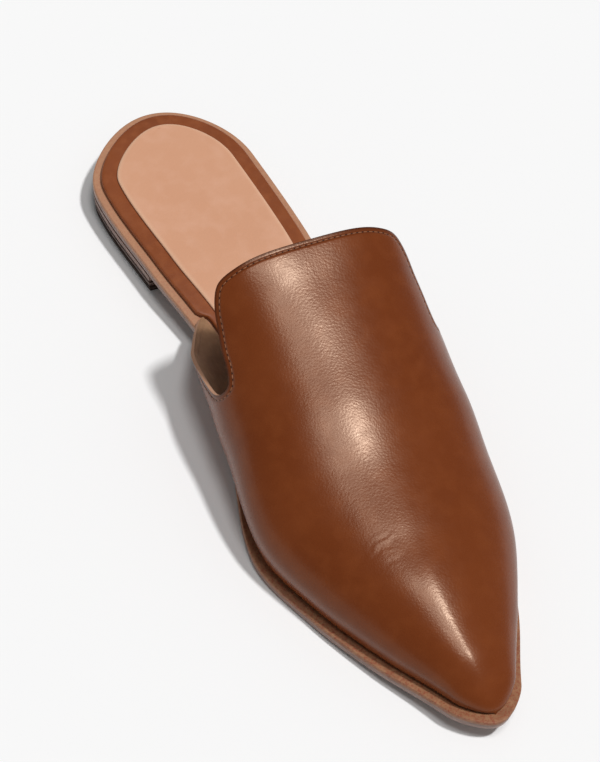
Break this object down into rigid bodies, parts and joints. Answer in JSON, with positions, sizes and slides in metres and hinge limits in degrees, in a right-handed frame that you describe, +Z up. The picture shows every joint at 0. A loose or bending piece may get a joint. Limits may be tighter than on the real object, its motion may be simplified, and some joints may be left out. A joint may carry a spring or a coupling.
{
  "type": "mule shoe",
  "caption": "Backless pointed leather mule, right foot: smooth one-piece vamp with a notch and a low wing on each side, tan sock, layered leather sole and low stacked heel.",
  "frame": {"origin": "middle of the footprint's box, on the floor the shoe stands on", "axes": "+Z up, toe towards -Y and heel towards +Y, +X towards the inner (big-toe) side of this right shoe"},
  "size_m": [0.0866, 0.2698, 0.067],
  "materials": {
    "upper_leather": "smooth aniline calf, polished",
    "sock_leather": "natural vegetable-tanned, matt",
    "wrap_leather": "smooth, satin",
    "sole_leather": "natural vegetable-tanned, buffed",
    "edge_leather": "stacked edge, waxed",
    "rubber": "moulded, matt"
  },
  "bodies": {
    "root": {"upper": "upper_leather", "sock_pad": "sock_leather", "insole": "wrap_leather", "midsole": "sole_leather", "outsole": "edge_leather", "heel_lift_1": "edge_leather", "heel_lift_2": "edge_leather", "top_piece": "rubber"}
  },
  "joints": []
}
